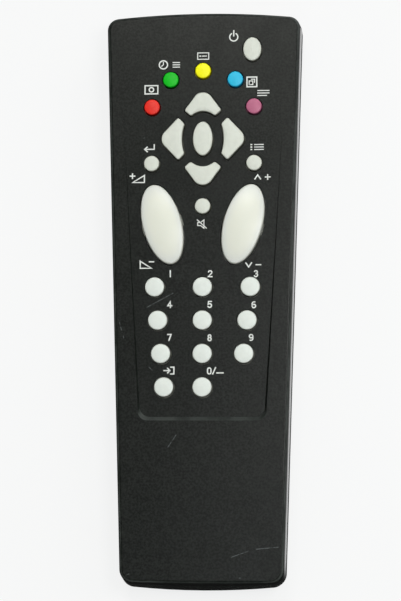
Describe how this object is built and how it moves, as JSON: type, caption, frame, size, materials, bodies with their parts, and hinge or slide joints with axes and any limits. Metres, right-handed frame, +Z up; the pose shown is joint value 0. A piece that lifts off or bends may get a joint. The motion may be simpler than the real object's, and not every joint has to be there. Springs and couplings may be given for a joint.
{
  "type": "tv remote control",
  "caption": "Slim tapered handheld infrared remote control with sunken keypad panel, direction pad, oval rockers, number keys and a sliding battery cover.",
  "frame": {"origin": "middle of the flat back, on the surface the remote lies on", "axes": "+Z up out of the key side, +Y towards the infrared (head) end, +X to the right"},
  "size_m": [0.066, 0.195, 0.0225],
  "materials": {
    "case": "fine-grained satin black",
    "window": "polished, dark, passes infrared",
    "key_grey": "matt silicone",
    "rocker": "semi-gloss, domed",
    "key_red": "matt silicone",
    "key_green": "matt silicone",
    "key_yellow": "matt silicone",
    "key_blue": "matt silicone",
    "key_purple": "matt silicone",
    "mat": "moulded silicone",
    "board": "brown laminate",
    "carbon": "printed carbon",
    "chip": "moulded",
    "tin": "tinned",
    "led": "clear tinted",
    "resonator": "dipped",
    "can": "sleeved can",
    "spring_steel": "nickel plated",
    "cell_sleeve": "plain sleeve",
    "screw": "zinc plated"
  },
  "bodies": {
    "case": {"front_case": "case", "rear_case": "case", "ir_window": "window", "keypad_mat": "mat", "dome_webs": "mat", "circuit_board": "board", "contact_pads": "carbon", "controller_chip": "chip", "chip_legs": "tin", "ir_led": "led", "led_legs": "tin", "ceramic_resonator": "resonator", "storage_capacitor": "can", "drive_transistor": "chip", "resistors": "chip", "positive_terminal": "spring_steel", "negative_terminal": "spring_steel", "series_link": "spring_steel", "battery_springs": "spring_steel", "cell_left": "cell_sleeve", "cell_right": "cell_sleeve", "cell_terminals": "tin", "case_screws": "screw", "board_screws": "screw"},
    "key_red": {"key_red": "key_red"},
    "key_green": {"key_green": "key_green"},
    "key_yellow": {"key_yellow": "key_yellow"},
    "key_blue": {"key_blue": "key_blue"},
    "key_purple": {"key_purple": "key_purple"},
    "key_exit": {"key_exit": "key_grey"},
    "key_menu": {"key_menu": "key_grey"},
    "key_mute": {"key_mute": "key_grey"},
    "key_power": {"key_power": "key_grey"},
    "key_centre": {"key_centre": "key_grey"},
    "key_up": {"key_up": "key_grey"},
    "key_down": {"key_down": "key_grey"},
    "key_left": {"key_left": "key_grey"},
    "key_right": {"key_right": "key_grey"},
    "key_0": {"key_0": "key_grey"},
    "key_1": {"key_1": "key_grey"},
    "key_2": {"key_2": "key_grey"},
    "key_3": {"key_3": "key_grey"},
    "key_4": {"key_4": "key_grey"},
    "key_5": {"key_5": "key_grey"},
    "key_6": {"key_6": "key_grey"},
    "key_7": {"key_7": "key_grey"},
    "key_8": {"key_8": "key_grey"},
    "key_9": {"key_9": "key_grey"},
    "key_av": {"key_av": "key_grey"},
    "volume_rocker": {"volume_rocker": "rocker"},
    "programme_rocker": {"programme_rocker": "rocker"},
    "battery_cover": {"battery_cover": "case"}
  },
  "joints": [
    {"name": "key_red_press", "type": "slide", "parent": "case", "child": "key_red", "axis": [0, 0, -1], "range_m": [0, 0.0009], "stiffness_N_per_m": 900, "deforming": ["dome_webs"]},
    {"name": "key_green_press", "type": "slide", "parent": "case", "child": "key_green", "axis": [0, 0, -1], "range_m": [0, 0.0009], "stiffness_N_per_m": 900, "deforming": ["dome_webs"]},
    {"name": "key_yellow_press", "type": "slide", "parent": "case", "child": "key_yellow", "axis": [0, 0, -1], "range_m": [0, 0.0009], "stiffness_N_per_m": 900, "deforming": ["dome_webs"]},
    {"name": "key_blue_press", "type": "slide", "parent": "case", "child": "key_blue", "axis": [0, 0, -1], "range_m": [0, 0.0009], "stiffness_N_per_m": 900, "deforming": ["dome_webs"]},
    {"name": "key_purple_press", "type": "slide", "parent": "case", "child": "key_purple", "axis": [0, 0, -1], "range_m": [0, 0.0009], "stiffness_N_per_m": 900, "deforming": ["dome_webs"]},
    {"name": "key_exit_press", "type": "slide", "parent": "case", "child": "key_exit", "axis": [0, 0, -1], "range_m": [0, 0.0009], "stiffness_N_per_m": 900, "deforming": ["dome_webs"]},
    {"name": "key_menu_press", "type": "slide", "parent": "case", "child": "key_menu", "axis": [0, 0, -1], "range_m": [0, 0.0009], "stiffness_N_per_m": 900, "deforming": ["dome_webs"]},
    {"name": "key_mute_press", "type": "slide", "parent": "case", "child": "key_mute", "axis": [0, 0, -1], "range_m": [0, 0.0009], "stiffness_N_per_m": 900, "deforming": ["dome_webs"]},
    {"name": "key_power_press", "type": "slide", "parent": "case", "child": "key_power", "axis": [0, 0, -1], "range_m": [0, 0.0009], "stiffness_N_per_m": 900, "deforming": ["dome_webs"]},
    {"name": "key_centre_press", "type": "slide", "parent": "case", "child": "key_centre", "axis": [0, 0, -1], "range_m": [0, 0.0009], "stiffness_N_per_m": 900, "deforming": ["dome_webs"]},
    {"name": "key_up_press", "type": "slide", "parent": "case", "child": "key_up", "axis": [0, 0, -1], "range_m": [0, 0.0009], "stiffness_N_per_m": 900, "deforming": ["dome_webs"]},
    {"name": "key_down_press", "type": "slide", "parent": "case", "child": "key_down", "axis": [0, 0, -1], "range_m": [0, 0.0009], "stiffness_N_per_m": 900, "deforming": ["dome_webs"]},
    {"name": "key_left_press", "type": "slide", "parent": "case", "child": "key_left", "axis": [0, 0, -1], "range_m": [0, 0.0009], "stiffness_N_per_m": 900, "deforming": ["dome_webs"]},
    {"name": "key_right_press", "type": "slide", "parent": "case", "child": "key_right", "axis": [0, 0, -1], "range_m": [0, 0.0009], "stiffness_N_per_m": 900, "deforming": ["dome_webs"]},
    {"name": "key_0_press", "type": "slide", "parent": "case", "child": "key_0", "axis": [0, 0, -1], "range_m": [0, 0.0009], "stiffness_N_per_m": 900, "deforming": ["dome_webs"]},
    {"name": "key_1_press", "type": "slide", "parent": "case", "child": "key_1", "axis": [0, 0, -1], "range_m": [0, 0.0009], "stiffness_N_per_m": 900, "deforming": ["dome_webs"]},
    {"name": "key_2_press", "type": "slide", "parent": "case", "child": "key_2", "axis": [0, 0, -1], "range_m": [0, 0.0009], "stiffness_N_per_m": 900, "deforming": ["dome_webs"]},
    {"name": "key_3_press", "type": "slide", "parent": "case", "child": "key_3", "axis": [0, 0, -1], "range_m": [0, 0.0009], "stiffness_N_per_m": 900, "deforming": ["dome_webs"]},
    {"name": "key_4_press", "type": "slide", "parent": "case", "child": "key_4", "axis": [0, 0, -1], "range_m": [0, 0.0009], "stiffness_N_per_m": 900, "deforming": ["dome_webs"]},
    {"name": "key_5_press", "type": "slide", "parent": "case", "child": "key_5", "axis": [0, 0, -1], "range_m": [0, 0.0009], "stiffness_N_per_m": 900, "deforming": ["dome_webs"]},
    {"name": "key_6_press", "type": "slide", "parent": "case", "child": "key_6", "axis": [0, 0, -1], "range_m": [0, 0.0009], "stiffness_N_per_m": 900, "deforming": ["dome_webs"]},
    {"name": "key_7_press", "type": "slide", "parent": "case", "child": "key_7", "axis": [0, 0, -1], "range_m": [0, 0.0009], "stiffness_N_per_m": 900, "deforming": ["dome_webs"]},
    {"name": "key_8_press", "type": "slide", "parent": "case", "child": "key_8", "axis": [0, 0, -1], "range_m": [0, 0.0009], "stiffness_N_per_m": 900, "deforming": ["dome_webs"]},
    {"name": "key_9_press", "type": "slide", "parent": "case", "child": "key_9", "axis": [0, 0, -1], "range_m": [0, 0.0009], "stiffness_N_per_m": 900, "deforming": ["dome_webs"]},
    {"name": "key_av_press", "type": "slide", "parent": "case", "child": "key_av", "axis": [0, 0, -1], "range_m": [0, 0.0009], "stiffness_N_per_m": 900, "deforming": ["dome_webs"]},
    {"name": "volume_rocker_tilt", "type": "hinge", "parent": "case", "child": "volume_rocker", "pos_m": [-0.01358, 0.0246, 0.0175], "axis": [0.9659, 0.2588, 0], "range_deg": [-4, 4], "stiffness_Nm_per_rad": 0.12, "deforming": ["dome_webs"]},
    {"name": "programme_rocker_tilt", "type": "hinge", "parent": "case", "child": "programme_rocker", "pos_m": [0.01358, 0.0246, 0.0175], "axis": [0.9659, -0.2588, 0], "range_deg": [-4, 4], "stiffness_Nm_per_rad": 0.12, "deforming": ["dome_webs"]},
    {"name": "battery_cover_slide", "type": "slide", "parent": "case", "child": "battery_cover", "axis": [0, -1, 0], "range_m": [0, 0.062]}
  ]
}
